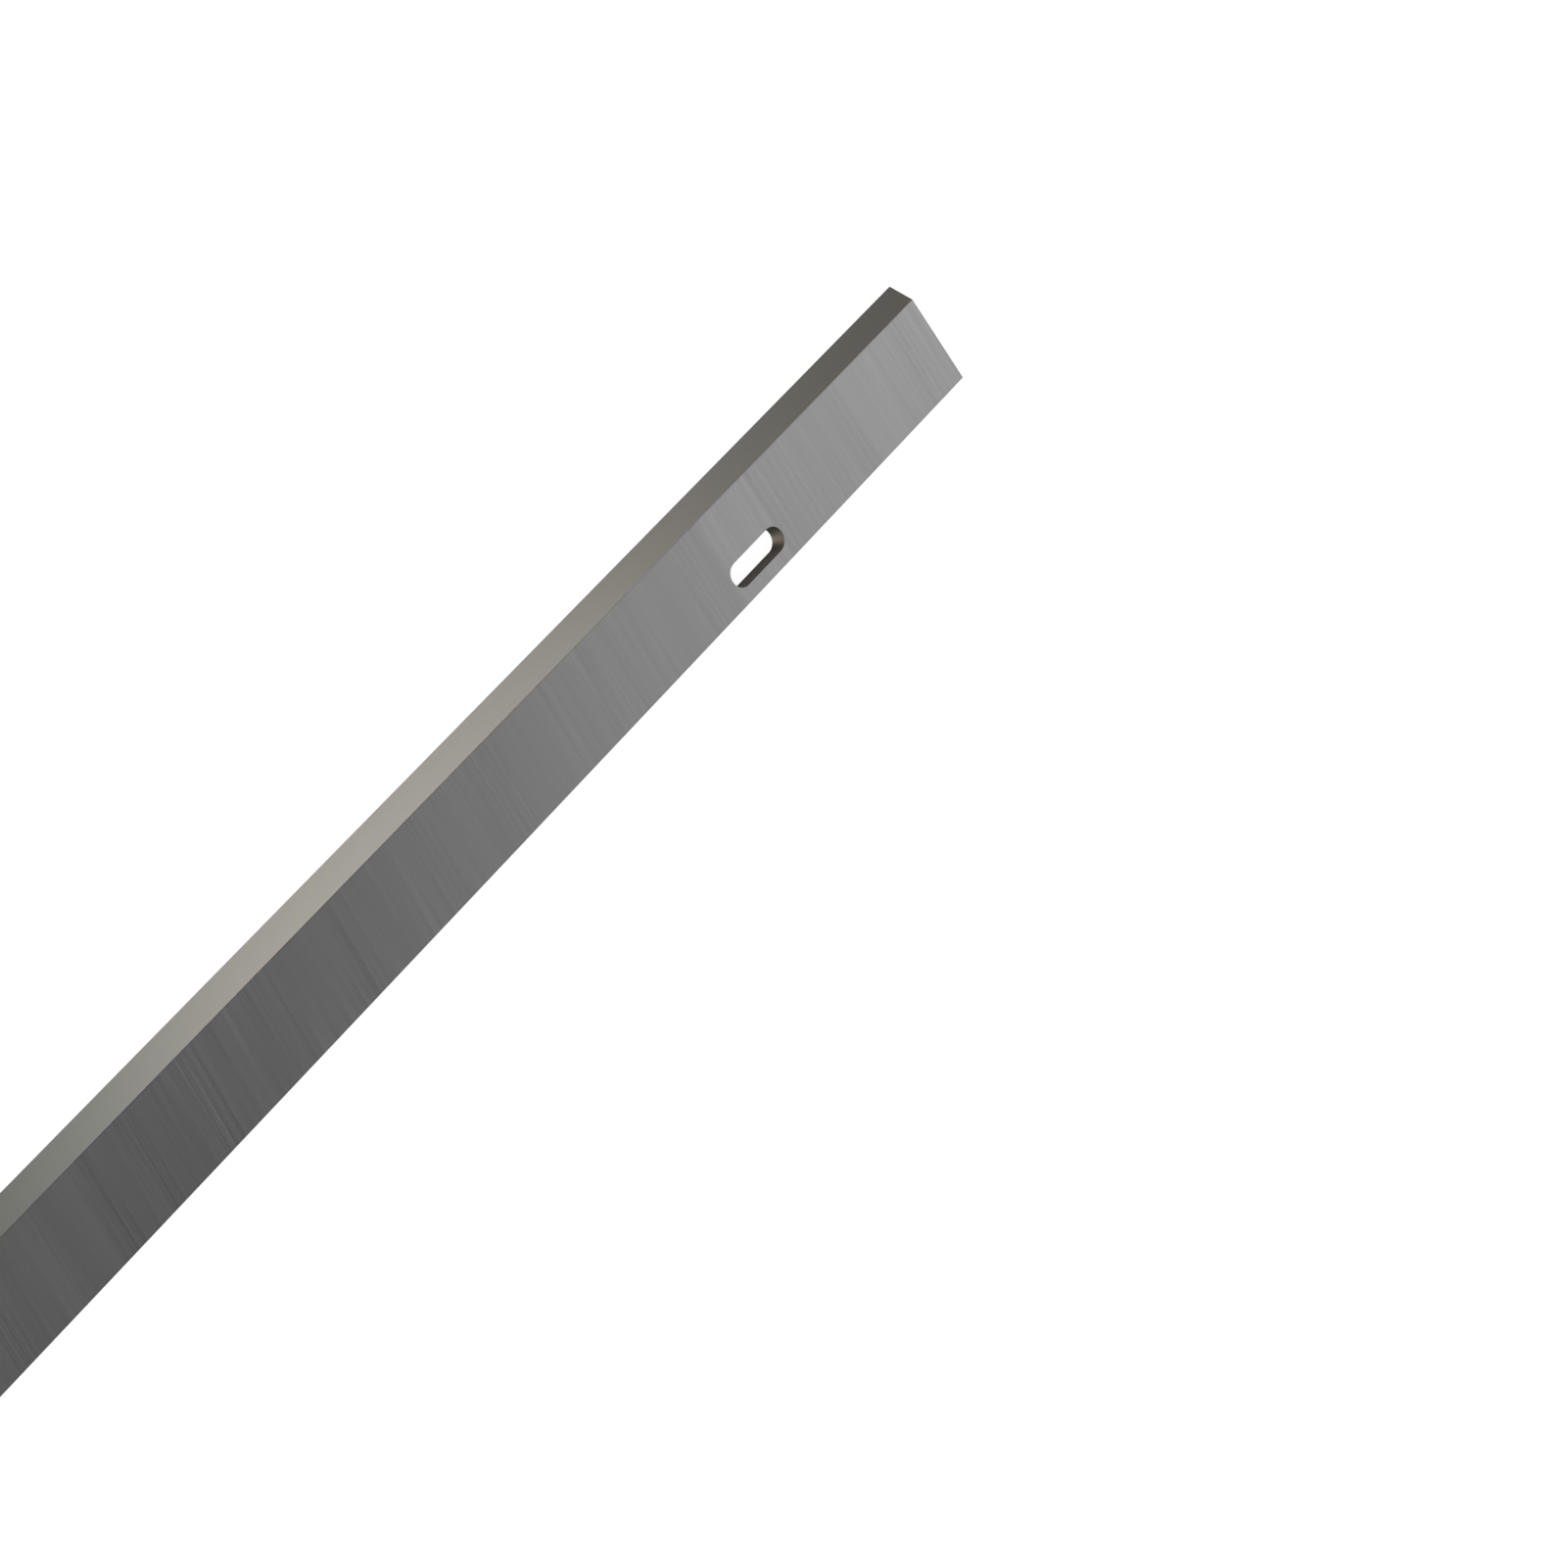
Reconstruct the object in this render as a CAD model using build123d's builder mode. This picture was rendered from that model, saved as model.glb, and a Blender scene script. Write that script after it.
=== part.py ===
from build123d import *
import os

# Straight planer knife, ground from one bar of tool steel, in millimetres.
# It lies on its flat side with the bevel up: X runs along the cutting edge, +Y points
# from the back edge to the cutting edge, and the origin is under the middle of the bar.

# The bar
length = 318.0
width = 19.0
thickness = 3.2

# The bevel rises from the cutting edge, which is sharp, to the heel on the top face
bevel_angle = 45.0

# The slots for the screws that set how far the knife stands out of the cutterhead
slot_length = 12.7
slot_width = 4.2
slot_to_end = 52.9
slot_to_back = 4.4

# The corners that the grinder takes off where the knife is handled
edge_break = 0.05
slot_break = 0.05

# Places that follow from the sizes
cutting_edge_y = width / 2
back_y = -width / 2
end_x = length / 2
slot_x = end_x - slot_to_end
slot_y = back_y + slot_to_back


def rim(face):
    """Return the edges round every hole in a flat face."""
    return [edge for wire in face.inner_wires() for edge in wire.edges()]


with BuildPart() as knife:
    # Section across the bar: flat side, cutting edge, bevel, top face, back edge
    with BuildSketch(Plane.YZ.offset(-end_x)):
        with BuildLine():
            flat_side = Line((back_y, 0), (cutting_edge_y, 0))
            bevel = PolarLine(
                flat_side @ 1,
                thickness,
                180 - bevel_angle,
                length_mode=LengthMode.VERTICAL,
            )
            top_face = Line(bevel @ 1, (back_y, thickness))
            Line(top_face @ 1, flat_side @ 0)
        make_face()
    extrude(amount=length)

    # Both ends lose their corners all round, and so does the back edge
    end_faces = knife.faces().filter_by(Axis.X)
    back_face = knife.faces().sort_by(Axis.Y)[0]
    back_edges = back_face.edges().filter_by(Axis.X)
    chamfer(end_faces.edges() + back_edges, edge_break)

    # Round-ended slots, cut from the top face right through
    with BuildSketch(Plane.XY.offset(thickness)):
        with Locations((-slot_x, slot_y), (slot_x, slot_y)):
            SlotOverall(slot_length, slot_width)
    extrude(amount=-thickness, mode=Mode.SUBTRACT)

    # The slots' rims are broken on both sides
    flat_faces = knife.faces().filter_by(Axis.Z).sort_by(Axis.Z)
    chamfer(rim(flat_faces[0]) + rim(flat_faces[-1]), slot_break)

os.makedirs("parts", exist_ok=True)
knife.part.label = "knife"
export_step(knife.part, "parts/knife.step")
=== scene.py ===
from math import cos, pi, radians, sin

import bpy
from mathutils import Matrix, Vector


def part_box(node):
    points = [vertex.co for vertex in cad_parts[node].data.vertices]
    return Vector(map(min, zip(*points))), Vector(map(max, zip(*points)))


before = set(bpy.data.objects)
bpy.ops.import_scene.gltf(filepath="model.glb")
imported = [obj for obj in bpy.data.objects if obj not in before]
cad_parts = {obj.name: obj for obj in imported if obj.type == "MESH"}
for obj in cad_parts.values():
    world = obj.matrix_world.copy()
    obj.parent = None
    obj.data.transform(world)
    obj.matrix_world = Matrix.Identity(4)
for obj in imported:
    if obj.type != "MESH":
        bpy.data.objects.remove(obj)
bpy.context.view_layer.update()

MM = 0.001
WHITE = (1.0, 1.0, 1.0, 1.0)

# The photograph's view, worked out from the knife's outline and slot
CAMERA_LENS = 81.0
SENSOR_WIDTH = 36.0
NEAREST_SEEN = 0.01
CAMERA_TARGET = Vector((88.0, -36.1, 0.0)) * MM
CAMERA_DISTANCE = 555.6 * MM
CAMERA_AZIMUTH = 142.4
CAMERA_ELEVATION = 52.7
CAMERA_ROLL = 86.1

# Azimuth, elevation, distance, width, height and radiance of each lamp
SOFTBOXES = {
    "face_light": (-33.7, 34.2, 1.0, 1.01, 0.74, 1.09),
    "bevel_light": (64.2, 39.6, 1.0, 0.29, 0.8, 1.8),
    "left_fill": (215.0, 50.0, 1.5, 1.6, 1.2, 2.2),
    "right_fill": (130.0, 45.0, 1.5, 1.2, 0.9, 2.2),
    "top_fill": (142.4, 82.0, 1.5, 1.0, 1.0, 0.6),
}
ROOM_LIGHT = 0.1

# The floor's colour as the light meets it and as the camera sees it, where a glow is added to it.
# The glow goes from its strength by the knife to white between two distances in metres.
FLOOR_SIZE = 16.0
FLOOR_DROP = 0.05 * MM
FLOOR_COLOUR = (0.8, 0.8, 0.8)
FLOOR_SEEN = (0.2, 0.2, 0.2)
GLOW_BY_KNIFE = 0.9
GLOW_FAR_OFF = 1.0
GLOW_RISES = (0.3, 1.5)

# Places on the knife in millimetres, as the solid has them
HEEL_Y = 6.3
BACK_Y = -9.5
SLOT_X = 106.1

# How kinds of surface are told apart. Each pair is where a kind starts and where it is full:
# a part of the normal, a distance from a slot's middle, or a place across the knife.
FLAT_NZ = (0.93, 0.98)
UPRIGHT_NZ = (0.5, 0.3)
BEVEL_NZ = (0.5, 0.6)
BEVEL_NY = (0.6, 0.7)
BEVEL_Y = (HEEL_Y - 0.5, HEEL_Y - 0.1)
WALL_FROM_SLOT = (8.0, 7.0)
WALL_Y = (BACK_Y + 0.5, BACK_Y + 1.0)

# The ground face, and how much lighter or darker than its steel it is, as shares: for each
# millimetre towards the heel and at the end, both painted light, in a band beside each slot, and
# in a line at the heel.
# The pairs are places along the knife and distances from a slot's middle.
FACE_STEEL = (0.3, 0.3, 0.301)
FACE_ROUGHNESS = 0.31
PAINTED_LIGHT_TO_HEEL = 0.004
PAINTED_LIGHT_AT_END = 0.05
PAINTED_LIGHT_END_RISES = (100.0, 145.0)
SLOT_BAND = 0.085
SLOT_BAND_RISES = (6.8, 5.3)
HEEL_LINE = -0.16
HEEL_LINE_Y = HEEL_Y - 0.05
HEEL_LINE_HALF_WIDTH = 0.16

# Grinding lines lean by this much, in millimetres along the knife for each one across it
LEAN_AT_END = 0.035
LEAN_AT_MIDDLE = 0.165
LEAN_RISES = (160.0, -40.0)

# A noise is how many features a millimetre it has along the knife and across it, and its detail.
# After these come a layer of grinding lines' strengths at the knife's middle and at its end.
LINE_LAYERS = (
    (3.2, 0.03, 1.0, 0.22, 0.16),
    (0.9, 0.02, 1.0, 0.16, 0.44),
    (0.22, 0.012, 0.0, 0.065, 0.26),
    (0.05, 0.01, 0.0, 0.07, 0.18),
)
LINES_TO_END = (40.0, 150.0)
LINE_ROUGHNESS = 0.3
LINE_BUMP = 0.1
LINE_HEIGHT = 0.01 * MM

# Layers with more than FINE lines a millimetre come in groups, which go from weak to strong
FINE = 0.5
GROUPS = (0.12, 0.02, 1.0)
GROUP_RISES = (0.35, 0.65)
GROUP_STRENGTH = (0.35, 1.45)

# Single scratches: how many a millimetre, where a minus only gives another pattern, and strength.
# The noise is a scratch where it rises between the pair.
SCRATCH_LAYERS = ((1.3, -0.02), (-1.1, 0.02))
SCRATCH_ACROSS = 0.015
SCRATCH_RISES = (0.64, 0.72)

# The bevel: its steel at the end and, with a greener tint painted in as shade, past the middle,
# and the noise of faint honing marks along it
BEVEL_STEEL = (0.443, 0.421, 0.379)
BEVEL_SHADE_TINT = (0.42, 0.42, 0.38)
SHADE_TINT_RISES = (5.0, -35.0)
BEVEL_ROUGHNESS = 0.28
HONING = (0.03, 5.0, 1.0)
HONING_STRENGTH = 0.05

# The slot walls have rippled steel with painted shade that makes them lighter upwards. On their
# round ends a painted highlight and a painted shade patch are placed by the Y part of the normal.
WALL_STEEL = (0.1, 0.094, 0.078)
WALL_ROUGHNESS = 0.85
WALL_SHADE_HEIGHT = (0.3, 2.6)
WALL_SHADE_LIGHTNESS = (0.6, 1.15)
RIPPLE = (0.5, 4.0, 1.0)
RIPPLE_LIGHTNESS = (0.75, 1.25)
HIGHLIGHT_STEEL = (0.38, 0.33, 0.27)
HIGHLIGHT_LIGHTNESS = 0.95
HIGHLIGHT_RISES = (-0.25, 0.5)
HIGHLIGHT_FALLS = (0.95, 0.5)
SHADE_PATCH_LIGHTNESS = 0.55
SHADE_PATCH_NY = -0.52
SHADE_PATCH_HALF_WIDTH = 0.25
SHADE_PATCH_HEIGHT = (1.2, 2.2)

# The broken edges, painted dark as shade
EDGE_SHADE_STEEL = (0.13, 0.128, 0.122)
EDGE_ROUGHNESS = 0.45


def toward(azimuth, elevation):
    """Unit vector from the knife to a place in the room, azimuth counted from +X to +Y."""
    a, e = radians(azimuth), radians(elevation)
    return Vector((cos(e) * cos(a), cos(e) * sin(a), sin(e)))


def looking_at(place, target, roll=0.0):
    """Matrix of a camera or lamp at place that looks at target, turned about its own axis."""
    forward = (target - place).normalized()
    right = forward.cross(Vector((0, 0, 1))).normalized()
    up = right.cross(forward)
    turn = Matrix.Rotation(radians(roll), 4, "Z")
    axes = Matrix((right, up, -forward)).transposed().to_4x4()
    return Matrix.Translation(place) @ axes @ turn


def add_camera():
    data = bpy.data.cameras.new("camera")
    data.lens = CAMERA_LENS
    data.sensor_width = SENSOR_WIDTH
    data.clip_start = NEAREST_SEEN
    camera = bpy.data.objects.new("camera", data)
    place = CAMERA_TARGET + toward(CAMERA_AZIMUTH, CAMERA_ELEVATION) * CAMERA_DISTANCE
    camera.matrix_world = looking_at(place, CAMERA_TARGET, CAMERA_ROLL)
    bpy.context.scene.collection.objects.link(camera)
    bpy.context.scene.camera = camera


def add_softbox(name, azimuth, elevation, distance, width, height, radiance):
    """Flat lamp that faces the knife's middle; radiance is its brightness seen in a mirror."""
    data = bpy.data.lights.new(name, "AREA")
    data.shape = "RECTANGLE"
    data.size = width
    data.size_y = height
    data.energy = radiance * pi * width * height
    lamp = bpy.data.objects.new(name, data)
    lamp.matrix_world = looking_at(toward(azimuth, elevation) * distance, Vector((0, 0, 0)))
    lamp.visible_camera = False
    bpy.context.scene.collection.objects.link(lamp)


def add_world(strength):
    world = bpy.data.worlds.new("studio")
    world.use_nodes = True
    background = world.node_tree.nodes["Background"]
    background.inputs["Color"].default_value = WHITE
    background.inputs["Strength"].default_value = strength
    bpy.context.scene.world = world


class Graph:
    """Adds the shader nodes of one material."""

    def __init__(self, name):
        self.material = bpy.data.materials.new(name)
        self.material.use_nodes = True
        self.tree = self.material.node_tree
        self.tree.nodes.clear()

    def node(self, kind, **settings):
        node = self.tree.nodes.new(kind)
        for setting, value in settings.items():
            setattr(node, setting, value)
        return node

    def feed(self, socket, value):
        """Links an output to the socket, or sets the socket to a plain value."""
        if isinstance(value, bpy.types.NodeSocket):
            self.tree.links.new(value, socket)
        else:
            socket.default_value = value

    def math(self, operation, a, b=0.0, c=0.0):
        node = self.node("ShaderNodeMath", operation=operation)
        for socket, value in zip(node.inputs, (a, b, c)):
            self.feed(socket, value)
        return node.outputs[0]

    def times(self, first, *others):
        """The product of two numbers or more."""
        for other in others:
            first = self.math("MULTIPLY", first, other)
        return first

    def apart(self, value, centre):
        """How far value is from centre, either way."""
        return self.math("ABSOLUTE", self.math("SUBTRACT", value, centre))

    def rise(self, value, start, end):
        """Goes smoothly from 0 at start to 1 at end."""
        node = self.node("ShaderNodeMapRange", interpolation_type="SMOOTHSTEP")
        self.feed(node.inputs["Value"], value)
        self.feed(node.inputs["From Min"], start)
        self.feed(node.inputs["From Max"], end)
        return node.outputs["Result"]

    def band(self, value, centre, half_width):
        """Is 1 where value is at centre and 0 from half_width away."""
        return self.rise(self.apart(value, centre), half_width, half_width / 2)

    def level(self, factor, low, high):
        """Goes evenly from low to high as factor goes from 0 to 1."""
        return self.math("MULTIPLY_ADD", factor, high - low, low)

    def colour(self, factor, a, b):
        """Colour a where factor is 0 and colour b where it is 1."""
        node = self.node("ShaderNodeMix", data_type="RGBA")
        self.feed(node.inputs["Factor"], factor)
        for socket, value in ((node.inputs[6], a), (node.inputs[7], b)):
            self.feed(socket, value if isinstance(value, bpy.types.NodeSocket) else (*value, 1))
        return node.outputs[2]

    def number(self, factor, a, b):
        """Number a where factor is 0 and number b where it is 1."""
        node = self.node("ShaderNodeMix", data_type="FLOAT")
        for socket, value in ((node.inputs[0], factor), (node.inputs[2], a), (node.inputs[3], b)):
            self.feed(socket, value)
        return node.outputs[0]

    def scaled(self, vector, amount):
        """A colour or a place times a number."""
        node = self.node("ShaderNodeVectorMath", operation="SCALE")
        self.feed(node.inputs[0], vector)
        self.feed(node.inputs["Scale"], amount)
        return node.outputs[0]

    def parts(self, vector):
        """The X, Y and Z parts of a vector."""
        node = self.node("ShaderNodeSeparateXYZ")
        self.feed(node.inputs[0], vector)
        return tuple(node.outputs)

    def noise(self, place, along, across, detail):
        """Noise with so many features a millimetre along the knife and across it."""
        stretch = self.node("ShaderNodeVectorMath", operation="MULTIPLY")
        self.feed(stretch.inputs[0], place)
        stretch.inputs[1].default_value = (along, across, across)
        noise = self.node("ShaderNodeTexNoise")
        self.feed(noise.inputs["Vector"], stretch.outputs[0])
        noise.inputs["Scale"].default_value = 1.0
        noise.inputs["Detail"].default_value = detail
        return noise.outputs["Fac"]

    def finish(self, shader):
        output = self.node("ShaderNodeOutputMaterial")
        self.tree.links.new(shader, output.inputs["Surface"])
        return self.material


def from_slot(g, x):
    """How far a place along the knife is from the middle of the nearer slot."""
    return g.apart(g.math("ABSOLUTE", x), SLOT_X)


def surface_kinds(g, x, y, ny, nz):
    """How far a point belongs to a flat face, the bevel, a slot wall and a broken edge."""
    facing = g.math("ABSOLUTE", nz)
    flat = g.rise(facing, *FLAT_NZ)
    upright = g.rise(facing, *UPRIGHT_NZ)
    bevel = g.times(g.rise(nz, *BEVEL_NZ), g.rise(y, *BEVEL_Y), g.rise(ny, *BEVEL_NY))
    near_slot = g.times(g.rise(from_slot(g, x), *WALL_FROM_SLOT), g.rise(y, *WALL_Y))
    wall = g.times(upright, near_slot)
    whole = g.math("MAXIMUM", g.math("MAXIMUM", flat, bevel), upright)
    broken = g.math("SUBTRACT", 1.0, whole)
    return flat, bevel, wall, broken


def line_crossing(g, x, y):
    """Where the grinding line through a point crosses the middle of the knife's width."""
    lean = g.level(g.rise(x, *LEAN_RISES), LEAN_AT_END, LEAN_AT_MIDDLE)
    return g.math("SUBTRACT", x, g.times(y, lean))


def grinding_lines(g, x, y, crossing):
    """How much lighter than its steel the ground face is, as a share: long lines in groups."""
    follow = g.node("ShaderNodeCombineXYZ")
    g.feed(follow.inputs[0], crossing)
    g.feed(follow.inputs[1], y)
    leaning = follow.outputs[0]
    group = g.level(g.rise(g.noise(leaning, *GROUPS), *GROUP_RISES), *GROUP_STRENGTH)
    to_end = g.rise(x, *LINES_TO_END)
    lightness = 0.0
    for along, across, detail, at_middle, at_end in LINE_LAYERS:
        layer = g.math("SUBTRACT", g.noise(leaning, along, across, detail), 0.5)
        if along > FINE:
            layer = g.times(layer, group)
        strength = g.level(to_end, at_middle, at_end)
        lightness = g.math("MULTIPLY_ADD", layer, strength, lightness)
    for along, strength in SCRATCH_LAYERS:
        scratch = g.rise(g.noise(leaning, along, SCRATCH_ACROSS, 0.0), *SCRATCH_RISES)
        lightness = g.math("MULTIPLY_ADD", scratch, strength, lightness)
    return lightness


def face_colour(g, x, y, crossing, lines):
    """Ground steel with its lines, a lighter band beside each slot, a dark line at the heel, and
    painted light towards the heel and the end.
    """
    bright = g.times(g.rise(from_slot(g, crossing), *SLOT_BAND_RISES), SLOT_BAND)
    dark = g.times(g.band(y, HEEL_LINE_Y, HEEL_LINE_HALF_WIDTH), HEEL_LINE)
    lightness = g.math("ADD", g.math("ADD", lines, bright), g.math("ADD", dark, 1.0))
    # Painted light: the face gets lighter towards the heel and towards the end
    lightness = g.math("MULTIPLY_ADD", y, PAINTED_LIGHT_TO_HEEL, lightness)
    lightness = g.math("MULTIPLY_ADD", g.rise(x, *PAINTED_LIGHT_END_RISES), PAINTED_LIGHT_AT_END, lightness)
    return g.scaled(FACE_STEEL, lightness)


def bevel_colour(g, place, x):
    """Warmer steel with faint honing marks along it, and a greener tint painted as shade past the
    middle.
    """
    honing = g.math("SUBTRACT", g.noise(place, *HONING), 0.5)
    # Painted shade: the bevel's steel turns greener past the middle
    shade_tinted = g.colour(g.rise(x, *SHADE_TINT_RISES), BEVEL_STEEL, BEVEL_SHADE_TINT)
    return g.scaled(shade_tinted, g.math("MULTIPLY_ADD", honing, HONING_STRENGTH, 1.0))


def wall_colour(g, place, z, ny):
    """Dark steel with ripples and painted shade that is darker lower down, and a painted highlight
    and a painted shade patch on each round end.
    """
    # Painted highlight on each round end, placed by the Y part of the normal
    painted_highlight = g.math("MINIMUM", g.rise(ny, *HIGHLIGHT_RISES), g.rise(ny, *HIGHLIGHT_FALLS))
    # Painted shade: the walls are darker lower down in the slot
    lightness = g.level(g.rise(z, *WALL_SHADE_HEIGHT), *WALL_SHADE_LIGHTNESS)
    lightness = g.number(painted_highlight, lightness, HIGHLIGHT_LIGHTNESS)
    # Painted shade: a darker patch on each round end, higher up the wall
    painted_shade = g.times(g.band(ny, SHADE_PATCH_NY, SHADE_PATCH_HALF_WIDTH), g.rise(z, *SHADE_PATCH_HEIGHT))
    ripple = g.level(g.noise(place, *RIPPLE), *RIPPLE_LIGHTNESS)
    lightness = g.times(lightness, g.level(painted_shade, 1.0, SHADE_PATCH_LIGHTNESS), ripple)
    return g.scaled(g.colour(painted_highlight, WALL_STEEL, HIGHLIGHT_STEEL), lightness)


def ground_steel():
    """Tool steel ground across its width, smoother on the bevel, dull in slots and at edges, with
    the edges painted dark as shade.
    """
    g = Graph("ground_steel")
    where = g.node("ShaderNodeTexCoord")
    place = g.scaled(where.outputs["Object"], 1 / MM)
    x, y, z = g.parts(place)
    _, ny, nz = g.parts(where.outputs["Normal"])
    flat, bevel, wall, broken = surface_kinds(g, x, y, ny, nz)
    crossing = line_crossing(g, x, y)
    lines = grinding_lines(g, x, y, crossing)

    colour = face_colour(g, x, y, crossing, lines)
    colour = g.colour(bevel, colour, bevel_colour(g, place, x))
    # Painted shade: the broken edges are coloured dark
    colour = g.colour(broken, colour, EDGE_SHADE_STEEL)
    colour = g.colour(wall, colour, wall_colour(g, place, z, ny))

    roughness = g.math("MULTIPLY_ADD", lines, LINE_ROUGHNESS, FACE_ROUGHNESS)
    roughness = g.number(bevel, roughness, BEVEL_ROUGHNESS)
    roughness = g.number(wall, roughness, WALL_ROUGHNESS)
    roughness = g.number(broken, roughness, EDGE_ROUGHNESS)

    bump = g.node("ShaderNodeBump")
    bump.inputs["Strength"].default_value = LINE_BUMP
    bump.inputs["Distance"].default_value = LINE_HEIGHT
    g.feed(bump.inputs["Height"], g.times(lines, flat))

    steel = g.node("ShaderNodeBsdfPrincipled")
    steel.inputs["Metallic"].default_value = 1.0
    g.feed(steel.inputs["Base Color"], colour)
    g.feed(steel.inputs["Roughness"], roughness)
    g.feed(steel.inputs["Normal"], bump.outputs["Normal"])
    return g.finish(steel.outputs["BSDF"])


def white_floor():
    """White to the camera and in reflections, darker in the knife's shade, clear from below."""
    g = Graph("floor")
    path = g.node("ShaderNodeLightPath")
    seen = g.math("MAXIMUM", path.outputs["Is Camera Ray"], path.outputs["Is Glossy Ray"])
    seen = g.math("MAXIMUM", seen, path.outputs["Is Transmission Ray"])
    paint = g.node("ShaderNodeBsdfDiffuse")
    g.feed(paint.inputs["Color"], g.colour(seen, FLOOR_COLOUR, FLOOR_SEEN))

    distance = g.node("ShaderNodeVectorMath", operation="LENGTH")
    g.feed(distance.inputs[0], g.node("ShaderNodeTexCoord").outputs["Object"])
    far_off = g.rise(distance.outputs["Value"], *GLOW_RISES)
    glow = g.node("ShaderNodeEmission")
    glow.inputs["Color"].default_value = WHITE
    strength = g.level(far_off, GLOW_BY_KNIFE, GLOW_FAR_OFF)
    g.feed(glow.inputs["Strength"], g.times(seen, strength))

    both = g.node("ShaderNodeAddShader")
    g.feed(both.inputs[0], paint.outputs[0])
    g.feed(both.inputs[1], glow.outputs[0])
    one_sided = g.node("ShaderNodeMixShader")
    g.feed(one_sided.inputs["Fac"], g.node("ShaderNodeNewGeometry").outputs["Backfacing"])
    g.feed(one_sided.inputs[1], both.outputs[0])
    g.feed(one_sided.inputs[2], g.node("ShaderNodeBsdfTransparent").outputs[0])
    material = g.finish(one_sided.outputs[0])
    material.cycles.emission_sampling = "NONE"
    return material


def add_floor():
    mesh = bpy.data.meshes.new("floor")
    half = FLOOR_SIZE / 2
    corners = [(-half, -half, 0), (half, -half, 0), (half, half, 0), (-half, half, 0)]
    mesh.from_pydata(corners, [], [(0, 1, 2, 3)])
    mesh.materials.append(white_floor())
    floor = bpy.data.objects.new("floor", mesh)
    floor.location.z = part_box("knife")[0].z - FLOOR_DROP
    bpy.context.scene.collection.objects.link(floor)


def dress_knife():
    steel = ground_steel()
    for slot in bpy.data.objects["knife"].material_slots:
        slot.material = steel


add_camera()
add_world(ROOM_LIGHT)
for name, settings in SOFTBOXES.items():
    add_softbox(name, *settings)
add_floor()
dress_knife()
bpy.context.scene.view_settings.view_transform = "Standard"
